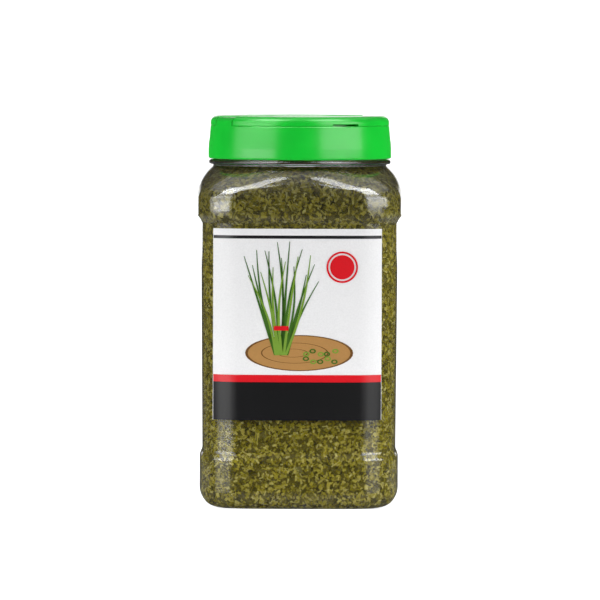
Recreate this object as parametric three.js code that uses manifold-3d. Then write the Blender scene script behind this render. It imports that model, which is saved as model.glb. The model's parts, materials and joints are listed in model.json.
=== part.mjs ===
// A clear square jar of dried chopped chives under a green screw cap with two flip-up flaps.
// Millimetres, Z up. The front with the label faces -Y, and the base stands on Z = 0.
import * as THREE from "three";
import { mergeVertices } from "three/addons/utils/BufferGeometryUtils.js";
import Module from "manifold-3d";

const wasm = await Module();
wasm.setup();

// Jar
const WAIST_TOP = 44.25; // half widths of the flat sides
const WAIST_FOOT = 43.5;
const LOWER_BULGE = 44.65;
const UPPER_BULGE = 46.2;
const CORNER = 18; // plan radius of the four upright edges
const SIDE_RADIUS = 350; // plan radius of the slightly crowned sides
const HEEL_RADIUS = 8;
const WALL = 0.95;
const FLOOR = 1.2;
const NECK_RADIUS = 37.9;
const NECK_BORE = 36.3;
const NECK_FOOT = 39.1; // the round throat under the bead
const BEAD_RADIUS = 41.0;
const BEAD_Z = 155.15;
const RIM_Z = 168.6;

// Screw thread, right handed: one turn lifts the cap by one pitch
const PITCH = 4.8;
const THREAD_TURNS = 1.25;
const THREAD_HEIGHT = 1.0; // radial
const THREAD_FOOT = 1.9; // along the axis
const THREAD_CREST = 1.0;
const JAR_THREAD_Z = 159.4; // where the lower end starts
const CAP_THREAD_Z = JAR_THREAD_Z - PITCH / 2;

// Label
const LABEL_FOOT = 40.0;
const LABEL_TOP = 125.2;
const LABEL_LEFT = -37.6;
const LABEL_RIGHT = 35.9;
const LABEL_GAP = 0.12;
const LABEL_SHEET = 0.25;

// Dried chives
const FILL_TOP = 148.3;
const FILL_INSET = 2.5; // from the wall to the packed core
const FILL_CLEAR = 0.4; // from the wall to the flakes that stand out of the core
const FLAKES_ON_WALL = 104;
const FLAKES_ON_TOP = 12;
const FLAKE_LENGTH = 13;
const FLAKE_WIDTH = 7;
const FLAKE_SHEET = 0.9;
const SEED = 20431;

// Cap, in its own frame: the shaker flap's middle faces -Y
const CAP_TURN = THREE.MathUtils.degToRad(31); // how far the cap is screwed round from the front
const CAP_FOOT = 155.45;
const SKIRT_FOOT_RADIUS = 41.15;
const SKIRT_TOP_RADIUS = 40.25;
const SKIRT_BORE = 39.4;
const LEDGE_Z = 170.2; // the flaps' lips close down on it
const DECK_TOP = 171.0;
const DECK_FOOT = 169.5;
const DECK_RADIUS = 38.0;
const BAR_HALF = 6.65; // the fixed bar between the two flaps
const BAR_TOP = 174.2;
const HINGE_PAD_LENGTH = 24;
const HINGE_PAD_WIDTH = 12;
const CAP_TOP = 174.65;
const SHAKER_HOLE = 9.5;
const SHAKER_HOLES = [
  [-20, -14.5],
  [0, -14.5],
  [20, -14.5],
  [-10.5, -26],
  [10.5, -26],
];
const SPOON_RADIUS = 33;
const SPOON_CHORD = 10.5;

// Flaps
const FLAP_EDGE = 6.95; // from the cap's middle to the straight hinge edge
const FLAP_RADIUS = 40.2;
const FLAP_UNDERSIDE = 173.0;
const LIP_BORE = 38.4;
const LIP_FOOT = 170.5;
const NOTCH_WIDTH = 13;
const NOTCH_HEIGHT = 0.85;

// Free-spinning liner ring between the jar's rim and the cap's deck
const LINER_BORE = 35.8;
const LINER_RADIUS = 38.6;
const LINER_FOOT = 168.75;
const LINER_TOP = 169.3;

const ROUND_STEPS = 60;
// Directions round the jar, closer together at the upright edges
const QUADRANT = [0, 12, 23, 31, 38, 45, 52, 59, 67, 78];
const DIRECTIONS = [0, 90, 180, 270].flatMap((start) =>
  QUADRANT.map((step) => THREE.MathUtils.degToRad(start + step)),
);

// Seeded random numbers between 0 and 1.
let state = SEED;
function random() {
  state = (state + 0x6d2b79f5) | 0;
  let t = Math.imul(state ^ (state >>> 15), 1 | state);
  t = (t + Math.imul(t ^ (t >>> 7), 61 | t)) ^ t;
  return ((t ^ (t >>> 14)) >>> 0) / 4294967296;
}

const between = (low, high) => low + (high - low) * random();

function solidOf(geometry) {
  const bare = geometry.clone();
  bare.deleteAttribute("normal");
  bare.deleteAttribute("uv");
  const merged = mergeVertices(bare, 1e-4);
  const mesh = new wasm.Mesh({
    numProp: 3,
    vertProperties: new Float32Array(merged.attributes.position.array),
    triVerts: new Uint32Array(merged.index.array),
  });
  return new wasm.Manifold(mesh);
}

function geometryOf(solid) {
  const mesh = solid.getMesh();
  const geometry = new THREE.BufferGeometry();
  geometry.setAttribute("position", new THREE.BufferAttribute(mesh.vertProperties, 3));
  geometry.setIndex(new THREE.BufferAttribute(mesh.triVerts, 1));
  geometry.computeVertexNormals();
  return geometry;
}

// The largest body of a union: loose scraps are dropped and sealed hollows are filled.
function mainBody(solid) {
  const bodies = solid.decompose();
  return bodies.reduce((a, b) => (b.volume() > a.volume() ? b : a));
}

// A closed skin through rings of equal point counts. Its flat end rings are closed too.
function skin(rings) {
  const count = rings[0].length;
  const last = (rings.length - 1) * count;
  const points = rings.flat();
  const index = [];
  for (let row = 0; row < last; row += count) {
    for (let j = 0; j < count; j++) {
      const a = row + j;
      const b = row + ((j + 1) % count);
      index.push(a, b, b + count, a, b + count, a + count);
    }
  }
  for (let j = 1; j + 1 < count; j++) {
    index.push(0, j + 1, j);
    index.push(last, last + j, last + j + 1);
  }
  let volume = 0;
  for (let i = 0; i < index.length; i += 3) {
    const [a, b, c] = [points[index[i]], points[index[i + 1]], points[index[i + 2]]];
    volume += a.dot(b.clone().cross(c));
  }
  if (volume < 0) index.reverse();
  const geometry = new THREE.BufferGeometry().setFromPoints(points);
  geometry.setIndex(index);
  geometry.computeVertexNormals();
  return geometry;
}

// How far a square with crowned sides and rounded corners reaches from its middle in one direction.
function reach(direction, half, corner) {
  const c = Math.abs(Math.cos(direction));
  const s = Math.abs(Math.sin(direction));
  const slope = Math.min(c, s) / Math.max(c, s);
  const crown = (half - corner) ** 2 / (2 * SIDE_RADIUS);
  const middle = half - corner - crown; // of the corner's arc, along both sides
  const across = half - (half * slope) ** 2 / (2 * SIDE_RADIUS);
  if (across * slope <= middle) return across / Math.max(c, s);
  return middle * (c + s) + Math.sqrt(corner ** 2 - middle ** 2 * (c - s) ** 2);
}

function ringPoint(direction, z, half, corner) {
  const r = reach(direction, half, corner);
  return new THREE.Vector3(r * Math.cos(direction), r * Math.sin(direction), z);
}

function squareRing([z, half, corner], directions = DIRECTIONS) {
  return directions.map((direction) => ringPoint(direction, z, half, corner));
}

// The rounded foot of a wall, from the standing face up to the upright side.
function heel(half, corner, radius, foot) {
  return [75, 55, 35, 15, 0].map((degrees) => {
    const angle = THREE.MathUtils.degToRad(degrees);
    const inset = radius * (1 - Math.cos(angle));
    return [foot + radius * (1 - Math.sin(angle)), half - inset, corner - inset / 2];
  });
}

function revolved(profile) {
  const points = profile.map(([r, z]) => new THREE.Vector2(r, z));
  points.push(points[0].clone());
  const geometry = new THREE.LatheGeometry(points, ROUND_STEPS);
  geometry.rotateX(Math.PI / 2);
  const solid = solidOf(geometry);
  if (solid.volume() > 0) return solid;
  return solidOf(new THREE.LatheGeometry(points.reverse(), ROUND_STEPS).rotateX(Math.PI / 2));
}

function block(low, high) {
  const size = high.map((value, i) => value - low[i]);
  const geometry = new THREE.BoxGeometry(...size);
  geometry.translate(...low.map((value, i) => value + size[i] / 2));
  return solidOf(geometry);
}

function upright(radius, x, y, low, high) {
  const geometry = new THREE.CylinderGeometry(radius, radius, high - low, 24);
  geometry.rotateX(Math.PI / 2);
  geometry.translate(x, y, (low + high) / 2);
  return solidOf(geometry);
}

// A helical ridge. Root and crest are radii, and its ends run out into the wall.
function thread(root, crest, startZ) {
  const steps = Math.round(THREAD_TURNS * 40);
  const rings = [];
  for (let i = 0; i <= steps; i++) {
    const turn = (i / steps) * THREAD_TURNS;
    const angle = turn * 2 * Math.PI;
    const runOut = Math.min(1, Math.min(i, steps - i) / 3 + 0.25);
    const tip = root + (crest - root) * runOut;
    const corners = [
      [root, -THREAD_FOOT / 2],
      [tip, -THREAD_CREST / 2],
      [tip, THREAD_CREST / 2],
      [root, THREAD_FOOT / 2],
    ];
    rings.push(
      corners.map(([r, rise]) => {
        const z = startZ + turn * PITCH + rise;
        return new THREE.Vector3(r * Math.cos(angle), r * Math.sin(angle), z);
      }),
    );
  }
  return solidOf(skin(rings));
}

// The inside of the rounded foot, drawn in by an inset.
function insideHeel(inset) {
  const thin = WALL + inset;
  return heel(LOWER_BULGE - thin, CORNER - thin, HEEL_RADIUS - thin, FLOOR + inset);
}

// Rings as [height, half width, corner radius]
const OUTSIDE = [
  [3.6, 18, 9],
  [3.2, 26, 10],
  [0.9, 30.2, 11.5],
  [0, 31.4, 12],
  [0, LOWER_BULGE - HEEL_RADIUS, CORNER - HEEL_RADIUS / 2],
  ...heel(LOWER_BULGE, CORNER, HEEL_RADIUS, 0),
  [21.6, LOWER_BULGE, CORNER],
  [22.8, 44.4, CORNER],
  [24.0, 43.9, CORNER],
  [25.2, 43.6, CORNER],
  [26.5, WAIST_FOOT, CORNER],
  [127.4, WAIST_TOP, CORNER],
  [128.2, 44.5, CORNER],
  [129.4, 45.5, CORNER],
  [130.7, 46.05, CORNER + 1],
  [132.2, UPPER_BULGE, CORNER + 1],
  [138.0, UPPER_BULGE, CORNER + 1],
  [141.0, 46.0, 21],
  [143.6, 45.35, 25],
  [146.3, 44.05, 31],
  [149.0, 42.2, 38],
  [150.4, 40.95, 40.95],
  [151.7, 39.75, 39.75],
  [152.6, NECK_FOOT, NECK_FOOT],
  [153.0, NECK_FOOT + 0.1, NECK_FOOT + 0.1],
  [153.3, BEAD_RADIUS - 0.4, BEAD_RADIUS - 0.4],
  [153.8, BEAD_RADIUS, BEAD_RADIUS],
  [154.6, BEAD_RADIUS, BEAD_RADIUS],
  [BEAD_Z - 0.1, BEAD_RADIUS - 0.4, BEAD_RADIUS - 0.4],
  [BEAD_Z, NECK_RADIUS, NECK_RADIUS],
  [RIM_Z - 0.5, NECK_RADIUS, NECK_RADIUS],
  [RIM_Z, NECK_RADIUS - 0.4, NECK_RADIUS - 0.4],
];

const INSIDE = [
  [4.8, 17.5, 8.5],
  [4.3, 25.5, 9.5],
  [2.2, 30.2, 11],
  [1.4, 32.4, 12],
  ...insideHeel(0),
  [21.4, LOWER_BULGE - WALL, CORNER - WALL],
  [22.5, 43.45, CORNER - WALL],
  [23.7, 42.95, CORNER - WALL],
  [25.0, 42.65, CORNER - WALL],
  [26.3, WAIST_FOOT - WALL, CORNER - WALL],
  [127.6, WAIST_TOP - WALL, CORNER - WALL],
  [128.5, 43.55, CORNER - WALL],
  [129.7, 44.55, CORNER - WALL],
  [130.9, 45.1, CORNER],
  [132.4, UPPER_BULGE - WALL, CORNER],
  [137.7, UPPER_BULGE - WALL, CORNER],
  [140.6, 45.0, 20],
  [143.0, 44.35, 24],
  [145.5, 43.1, 30],
  [148.0, 41.2, 37],
  [149.4, 39.8, 39.8],
  [150.6, 38.3, 38.3],
  [151.8, 36.9, 36.9],
  [153.2, NECK_BORE, NECK_BORE],
];

function jar() {
  const rim = [
    [RIM_Z, NECK_BORE + 0.4, NECK_BORE + 0.4],
    [RIM_Z - 0.5, NECK_BORE, NECK_BORE],
  ];
  const shell = [...OUTSIDE, ...rim, ...INSIDE.toReversed()].map((ring) => squareRing(ring));
  const ridge = thread(NECK_RADIUS - 0.6, NECK_RADIUS + THREAD_HEIGHT, JAR_THREAD_Z);
  return mainBody(solidOf(skin(shell)).add(ridge));
}

// The jar's inside at one height above its floor, drawn in by an inset.
function insideAt(z, inset) {
  const above = INSIDE.findIndex((ring, i) => i > 3 && ring[0] >= z);
  if (above < 0) return [z, NECK_BORE - inset, NECK_BORE - inset];
  const [a, b] = [INSIDE[above - 1], INSIDE[above]];
  const share = (z - a[0]) / (b[0] - a[0]);
  const half = a[1] + (b[1] - a[1]) * share;
  const corner = a[2] + (b[2] - a[2]) * share;
  return [z, half - inset, Math.max(corner - inset, 6)];
}

// The space inside the jar, drawn in by an inset: the raised floor, the heel, then rings upward.
function insideRings(inset, heights) {
  const floor = INSIDE.slice(0, 2).map(([z, half, corner]) => [z + inset, half - inset, corner]);
  const foot = insideHeel(inset);
  return [...floor, ...foot, ...heights.map((z) => insideAt(z, inset))];
}

// One curled shard lying flat along X: two strips that meet in a raised middle.
function shard(length, width, rise) {
  const rings = [-1, 0, 1].map((side) => {
    const y = (side * width) / 2;
    const z = side === 0 ? rise : 0;
    const ends = side === 0 ? length / 2 : length / 2.6;
    return [
      new THREE.Vector3(-ends, y, z - FLAKE_SHEET / 2),
      new THREE.Vector3(ends, y, z - FLAKE_SHEET / 2),
      new THREE.Vector3(ends, y, z + FLAKE_SHEET / 2),
      new THREE.Vector3(-ends, y, z + FLAKE_SHEET / 2),
    ];
  });
  return skin(rings);
}

// A shard laid on the core, its upper side along the outward direction, then tipped at random.
function placedShard(place, outward, sunk) {
  const length = FLAKE_LENGTH * between(0.75, 1.15);
  const geometry = shard(length, FLAKE_WIDTH * between(0.8, 1.15), between(0.4, 0.9));
  geometry.rotateX(between(-0.16, 0.16));
  geometry.rotateY(between(-0.16, 0.16));
  geometry.rotateZ(between(0, 2 * Math.PI));
  const turn = new THREE.Quaternion().setFromUnitVectors(new THREE.Vector3(0, 0, 1), outward);
  geometry.applyQuaternion(turn);
  const seat = place.clone().addScaledVector(outward, -sunk);
  geometry.translate(seat.x, seat.y, seat.z);
  return solidOf(geometry);
}

function driedChives() {
  const heights = [18, 26, 39, 52, 65, 78, 91, 104, 117, 127, 134, 140, 145, FILL_TOP];
  const core = insideRings(FILL_INSET, heights);
  const coarse = DIRECTIONS.filter((_, i) => i % 2 === 1);
  const rough = core.map((ring, i) => {
    const flat = i === 0 || i === core.length - 1;
    return squareRing(ring, coarse).map((p) => {
      const scale = flat ? 1 : 1 + between(-0.016, 0.01);
      return new THREE.Vector3(p.x * scale, p.y * scale, p.z);
    });
  });
  const pieces = [solidOf(skin(rough))];
  const columns = 13;
  const rows = Math.ceil(FLAKES_ON_WALL / columns);
  const low = 10;
  const high = FILL_TOP - 4;
  for (let i = 0; i < FLAKES_ON_WALL; i++) {
    const row = Math.floor(i / columns);
    const column = (i % columns) + (row % 2) / 2;
    const z = low + ((high - low) * (row + between(0.1, 0.9))) / rows;
    const direction = ((column + between(-0.3, 0.3)) / columns) * 2 * Math.PI;
    const [, half, corner] = insideAt(z, FILL_INSET);
    const place = ringPoint(direction, z, half, corner);
    const ahead = ringPoint(direction + 0.02, z, half, corner);
    const behind = ringPoint(direction - 0.02, z, half, corner);
    const lean = (insideAt(z - 1, 0)[1] - insideAt(z + 1, 0)[1]) / 2;
    const outward = new THREE.Vector3(ahead.y - behind.y, behind.x - ahead.x, 0).normalize();
    outward.setZ(lean).normalize();
    pieces.push(placedShard(place, outward, 0.3));
  }
  for (let i = 0; i < FLAKES_ON_TOP; i++) {
    const radius = 30 * Math.sqrt((i + 0.5) / FLAKES_ON_TOP);
    const angle = i * 2.39996;
    const place = new THREE.Vector3(radius * Math.cos(angle), radius * Math.sin(angle), FILL_TOP);
    pieces.push(placedShard(place, new THREE.Vector3(0, 0, 1), -0.1));
  }
  const levels = [...INSIDE.slice(9).map((ring) => ring[0]), FILL_TOP + 6];
  const clear = insideRings(FILL_CLEAR, levels).map((ring) => squareRing(ring));
  const room = solidOf(skin(clear));
  return mainBody(wasm.Manifold.union(pieces).intersect(room));
}

// A sheet that follows the waist round from the left end to the right end of the label.
function label() {
  const front = (3 * Math.PI) / 2;
  const across = (direction, half, corner) => ringPoint(direction, 0, half, corner).x;
  const middle = (WAIST_FOOT + WAIST_TOP) / 2;
  const ends = [LABEL_LEFT, LABEL_RIGHT].map((x) => {
    const sign = Math.sign(x);
    let angle = 0;
    while (Math.abs(across(front + sign * angle, middle, CORNER)) < Math.abs(x)) angle += 1e-4;
    return front + sign * angle;
  });
  const inner = DIRECTIONS.filter((d) => d > ends[0] + 0.02 && d < ends[1] - 0.02);
  const halfAt = (z) => WAIST_FOOT + ((WAIST_TOP - WAIST_FOOT) * (z - 26.5)) / (127.4 - 26.5);
  const rings = [ends[0], ...inner, ends[1]].map((direction) => {
    const corners = [
      [LABEL_FOOT, LABEL_GAP],
      [LABEL_TOP, LABEL_GAP],
      [LABEL_TOP, LABEL_GAP + LABEL_SHEET],
      [LABEL_FOOT, LABEL_GAP + LABEL_SHEET],
    ];
    return corners.map(([z, out]) => ringPoint(direction, z, halfAt(z) + out, CORNER + out));
  });
  return solidOf(skin(rings));
}

function spoonOpening() {
  const shape = new THREE.Shape();
  const corner = Math.asin((SPOON_CHORD + 3) / SPOON_RADIUS);
  const chordEnd = SPOON_RADIUS * Math.cos(corner) - 2.2;
  shape.moveTo(-chordEnd, SPOON_CHORD);
  shape.lineTo(chordEnd, SPOON_CHORD);
  shape.absarc(0, 0, SPOON_RADIUS, corner, Math.PI - corner, false);
  shape.closePath();
  const depth = 4;
  const geometry = new THREE.ExtrudeGeometry(shape, {
    depth,
    bevelEnabled: false,
    curveSegments: 28,
  });
  geometry.translate(0, 0, (DECK_TOP + DECK_FOOT) / 2 - depth / 2);
  return solidOf(geometry);
}

function capShell() {
  const skirt = revolved([
    [0, DECK_TOP],
    [0, DECK_FOOT],
    [SKIRT_BORE - 0.9, DECK_FOOT],
    [SKIRT_BORE, DECK_FOOT - 1.2],
    [SKIRT_BORE, CAP_FOOT + 0.5],
    [SKIRT_BORE + 0.3, CAP_FOOT],
    [SKIRT_FOOT_RADIUS - 0.5, CAP_FOOT],
    [SKIRT_FOOT_RADIUS, CAP_FOOT + 0.8],
    [SKIRT_FOOT_RADIUS, 160.6],
    [SKIRT_TOP_RADIUS + 0.35, 165.4],
    [SKIRT_TOP_RADIUS, LEDGE_Z - 0.4],
    [SKIRT_TOP_RADIUS - 0.3, LEDGE_Z],
    [DECK_RADIUS, LEDGE_Z],
    [DECK_RADIUS, DECK_TOP],
  ]);
  const disc = revolved([
    [0, DECK_FOOT + 0.4],
    [FLAP_RADIUS - 0.5, DECK_FOOT + 0.4],
    [FLAP_RADIUS, LEDGE_Z + 0.6],
    [FLAP_RADIUS - 0.05, BAR_TOP - 1.5],
    [FLAP_RADIUS - 0.6, BAR_TOP - 0.4],
    [FLAP_RADIUS - 1.6, BAR_TOP],
    [0, BAR_TOP],
  ]);
  const bar = disc.intersect(block([-50, -BAR_HALF, 160], [50, BAR_HALF, 180]));
  const pad = block(
    [-HINGE_PAD_LENGTH / 2, -HINGE_PAD_WIDTH / 2, BAR_TOP - 1],
    [HINGE_PAD_LENGTH / 2, HINGE_PAD_WIDTH / 2, CAP_TOP],
  );
  const ridge = thread(SKIRT_BORE + 0.4, SKIRT_BORE - THREAD_HEIGHT, CAP_THREAD_Z);
  let shell = skirt.add(bar).add(pad).add(ridge).subtract(spoonOpening());
  for (const [x, y] of SHAKER_HOLES) {
    shell = shell.subtract(upright(SHAKER_HOLE / 2, x, y, DECK_FOOT - 1, DECK_TOP + 1));
  }
  return mainBody(shell);
}

// Both flaps are cut from one dished lid, on each side of the bar.
function flap(side) {
  const lid = revolved([
    [0, FLAP_UNDERSIDE],
    [LIP_BORE, FLAP_UNDERSIDE],
    [LIP_BORE, LIP_FOOT],
    [FLAP_RADIUS - 0.1, LIP_FOOT],
    [FLAP_RADIUS, LIP_FOOT + 0.4],
    [FLAP_RADIUS - 0.05, CAP_TOP - 1.6],
    [FLAP_RADIUS - 0.55, CAP_TOP - 0.5],
    [FLAP_RADIUS - 1.6, CAP_TOP],
    [0, CAP_TOP],
  ]);
  const ends = [side * FLAP_EDGE, side * 50].sort((a, b) => a - b);
  const half = lid.intersect(block([-50, ends[0], 160], [50, ends[1], 180]));
  const outside = [side * 30, side * 50].sort((a, b) => a - b);
  const notch = block(
    [-NOTCH_WIDTH / 2, outside[0], LIP_FOOT - 2],
    [NOTCH_WIDTH / 2, outside[1], LIP_FOOT + NOTCH_HEIGHT],
  );
  return mainBody(half.subtract(notch));
}

function liner() {
  return revolved([
    [LINER_BORE, LINER_FOOT],
    [LINER_RADIUS, LINER_FOOT],
    [LINER_RADIUS, LINER_TOP],
    [LINER_BORE, LINER_TOP],
  ]);
}

function named(name, solid, color, roughness) {
  const material = new THREE.MeshStandardMaterial({ color, roughness, metalness: 0 });
  const mesh = new THREE.Mesh(geometryOf(solid), material);
  mesh.name = name;
  return mesh;
}

const cap = new THREE.Group();
cap.name = "cap";
cap.rotation.z = CAP_TURN;
cap.add(
  named("cap_shell", capShell(), "#14bc32", 0.3),
  named("shaker_flap", flap(-1), "#14bc32", 0.3),
  named("spoon_flap", flap(1), "#14bc32", 0.3),
);

const part = new THREE.Group();
part.name = "jar_of_dried_chives";
part.add(
  named("jar", jar(), "#e9ecef", 0.06),
  named("label", label(), "#e2e2e4", 0.45),
  named("dried_chives", driedChives(), "#757a36", 0.85),
  named("liner_ring", liner(), "#eeece4", 0.7),
  cap,
);

export default part;
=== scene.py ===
"""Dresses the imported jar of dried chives: jar, contents, label, flip-top cap and a light studio.

The file is laid out as a Blender add-on, but it is run as a script. Sizes are real sizes in metres
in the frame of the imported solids: Z is up, the label faces -Y and the jar stands on Z = 0.
"""

import json
import math

import bmesh
import bpy
from mathutils import Euler, Matrix, Vector

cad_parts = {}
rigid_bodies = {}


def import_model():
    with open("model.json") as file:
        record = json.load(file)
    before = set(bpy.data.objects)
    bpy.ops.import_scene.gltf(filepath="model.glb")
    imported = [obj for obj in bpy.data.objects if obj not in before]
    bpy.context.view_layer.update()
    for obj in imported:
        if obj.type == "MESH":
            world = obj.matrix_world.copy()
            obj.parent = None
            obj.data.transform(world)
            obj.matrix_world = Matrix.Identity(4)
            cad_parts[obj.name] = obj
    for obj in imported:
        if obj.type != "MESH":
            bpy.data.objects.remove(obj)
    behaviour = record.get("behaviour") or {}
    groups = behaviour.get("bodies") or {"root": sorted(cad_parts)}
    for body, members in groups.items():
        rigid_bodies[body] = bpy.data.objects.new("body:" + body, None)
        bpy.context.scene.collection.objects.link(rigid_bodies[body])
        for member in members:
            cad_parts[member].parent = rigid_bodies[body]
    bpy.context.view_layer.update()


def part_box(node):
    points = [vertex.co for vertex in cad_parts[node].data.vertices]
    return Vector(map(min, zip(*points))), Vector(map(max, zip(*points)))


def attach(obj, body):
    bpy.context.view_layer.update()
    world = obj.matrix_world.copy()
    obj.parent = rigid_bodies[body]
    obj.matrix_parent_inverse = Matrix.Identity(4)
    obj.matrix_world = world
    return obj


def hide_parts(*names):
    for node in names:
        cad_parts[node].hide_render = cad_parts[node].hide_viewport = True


bl_info = {
    "name": "Jar of dried chives",
    "version": (1, 0, 0),
    "blender": (4, 5, 0),
    "location": "View3D > Sidebar > Chive Jar",
    "description": "Models a clear jar of dried chives with a green flip-top screw cap",
    "category": "Object",
}

MM = 0.001
UPRIGHT = (math.pi / 2, 0, 0)
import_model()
LABEL_LOW, LABEL_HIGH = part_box("label")
LINER_LOW, LINER_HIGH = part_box("liner_ring")
JAR_LOW, JAR_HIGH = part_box("jar")
CAP_LOW, CAP_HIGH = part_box("cap_shell")


def linear(code):
    """A linear colour with alpha 1 from an sRGB hex code."""
    channels = [int(code[i : i + 2], 16) / 255 for i in (1, 3, 5)]
    curve = [c / 12.92 if c <= 0.04045 else ((c + 0.055) / 1.055) ** 2.4 for c in channels]
    return (*curve, 1.0)


def length(name, description, default_mm):
    """A length property whose default is given in millimetres."""
    return bpy.props.FloatProperty(
        name=name, description=description, default=default_mm * MM, min=0.0, unit="LENGTH", precision=5
    )


def colour(name, description, code):
    """A colour property whose default is an sRGB hex code."""
    return bpy.props.FloatVectorProperty(
        name=name, description=description, default=linear(code), size=4, min=0, max=1, subtype="COLOR"
    )


def number(name, description, default):
    """A plain number property."""
    return bpy.props.FloatProperty(name=name, description=description, default=default, min=0.0)


def angle(name, description, degrees):
    """An angle property whose default is given in degrees."""
    return bpy.props.FloatProperty(
        name=name, description=description, default=math.radians(degrees), subtype="ANGLE"
    )


class JarSettings(bpy.types.PropertyGroup):
    """Sizes of the clear jar."""

    waist_top: length("Waist top", "Half width of the flat sides under the upper bulge", 44.25)
    waist_foot: length("Waist foot", "Half width of the flat sides above the lower bulge", 43.5)
    lower_bulge: length("Lower bulge", "Half width of the lower bulge", 44.65)
    upper_bulge: length("Upper bulge", "Half width of the upper bulge", 46.2)
    heel: length("Heel", "Radius of the rounded foot", 8.0)
    wall: length("Wall", "Thickness of the blown wall", 0.95)
    neck: length("Neck", "Outer radius of the neck under the cap", 37.9)
    neck_bore: length("Neck bore", "Inner radius of the neck", 36.3)
    bead: length("Bead", "Radius of the bead under the cap", 41.0)
    tint: colour("Tint", "Colour of the clear plastic", "#f3f5f5")


class ChiveSettings(bpy.types.PropertyGroup):
    """The dried, chopped contents."""

    fill_top: length("Fill height", "Height of the contents above the base", 148.3)
    core_inset: length("Core inset", "From the inner wall to the packed core", 2.75)
    flake: length("Flake", "Length of a typical flake", 1.75)
    flake_width: length("Flake width", "Width of a typical flake", 1.1)
    flakes_per_square_cm: number("Flakes", "Flakes on each square centimetre of a layer", 18)
    seed: bpy.props.IntProperty(name="Seed", description="Seed of the scatter", default=7)
    dark: colour("Dark leaf", "Shaded and darkest flakes", "#3f3806")
    leaf: colour("Leaf", "Most flakes", "#c6b62a")
    pale: colour("Pale leaf", "Lighter flakes", "#e6d762")
    straw: colour("Straw", "The few bleached flakes", "#f8ee9e")


class LabelSettings(bpy.types.PropertyGroup):
    """The front label."""

    gap: length("Gap", "Glue line between the jar and the paper", 0.12)
    sheet: length("Sheet", "Thickness of the paper", 0.25)
    ink: length("Ink", "Thickness of the print", 0.02)
    paper: colour("Paper", "Coated paper", "#f6f6f7")
    black: colour("Black ink", "Dark band", "#0b0b0d")
    red: colour("Red ink", "Stripe and disc", "#e0101f")
    green: colour("Green ink", "Drawn stems and rings", "#3f6a1e")
    lime: colour("Lime ink", "Lighter stems and rings", "#7da33a")
    tan: colour("Tan ink", "Drawn board", "#b98a50")
    brown: colour("Brown ink", "Rim and grain of the board", "#6f4a22")


class CapSettings(bpy.types.PropertyGroup):
    """The screw cap and its two flaps."""

    turn: angle("Turn", "How far the cap is screwed round from the front", 31)
    skirt_foot: length("Skirt foot", "Radius of the skirt near its foot", 41.15)
    skirt_top: length("Skirt top", "Radius of the skirt under the flaps", 40.25)
    bore: length("Bore", "Inner radius of the skirt", 39.4)
    flap_radius: length("Flap radius", "Outer radius of the flaps", 40.2)
    bar: length("Bar", "Half width of the fixed bar between the flaps", 6.65)
    flap_edge: length("Flap edge", "From the middle to a flap's hinge edge", 7.2)
    notch: length("Notch", "Width of the finger notch", 13.0)
    shaker_hole: length("Shaker hole", "Diameter of a shaker hole", 9.5)
    spoon_radius: length("Spoon opening", "Radius of the spoon opening", 33.0)
    spoon_chord: length("Spoon chord", "From the middle to the straight side of the opening", 10.5)
    green: colour("Green", "Colour of the plastic", "#14d538")


class StageSettings(bpy.types.PropertyGroup):
    """Camera, lights and floor."""

    lens: number("Lens", "Focal length in mm", 399.5)
    distance: length("Distance", "From the camera to the jar", 3000)
    aim_height: length("Aim height", "Height that the camera looks at", 91.6)
    aim_side: length("Aim side", "How far right of the jar the camera looks", 0.3)
    elevation: angle("Elevation", "How far the camera looks down", 2.6)
    roll: angle("Roll", "How far the camera is rolled", 0.2)
    key: number("Key", "Brightness of the softboxes", 2.8)
    overhead: number("Overhead", "Brightness of the ceiling", 1.7)
    surround: number("Surround", "Light from the room", 0.05)
    zenith: number("Zenith", "Light from straight above", 0.2)


class ChiveJar(bpy.types.PropertyGroup):
    """All settings of the jar and its stage."""

    jar: bpy.props.PointerProperty(type=JarSettings)
    chives: bpy.props.PointerProperty(type=ChiveSettings)
    label: bpy.props.PointerProperty(type=LabelSettings)
    cap: bpy.props.PointerProperty(type=CapSettings)
    stage: bpy.props.PointerProperty(type=StageSettings)


def add_node(tree, kind, inputs=None, **settings):
    """Adds a node, sets its properties, and sets or links its inputs by name or number.

    An input that is given another node takes that node's first output.
    """
    node = tree.nodes.new(kind)
    for name, value in settings.items():
        setattr(node, name, value)
    for key, value in (inputs or {}).items():
        if isinstance(value, bpy.types.Node):
            value = value.outputs[0]
        if isinstance(value, bpy.types.NodeSocket):
            tree.links.new(value, node.inputs[key])
        else:
            node.inputs[key].default_value = value
    return node


def new_material(name):
    """A material, its empty node tree, and the socket that gives a point's place on the piece."""
    material = bpy.data.materials.new(name)
    material.use_nodes = True
    tree = material.node_tree
    tree.nodes.clear()
    return material, tree, add_node(tree, "ShaderNodeTexCoord").outputs["Object"]


def dimmed(shade, share):
    """A colour at a share of its brightness."""
    return [c * share for c in shade[:3]] + [1]


def per_mm(size):
    """The scale of a pattern whose features are this many millimetres wide."""
    return 1 / (size * MM)


def set_ramp(ramp, stops):
    """Puts (position, colour) stops on a colour ramp."""
    elements = ramp.color_ramp.elements
    while len(elements) < len(stops):
        elements.new(0.5)
    for element, (position, shade) in zip(elements, stops):
        element.position = position
        element.color = shade


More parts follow.
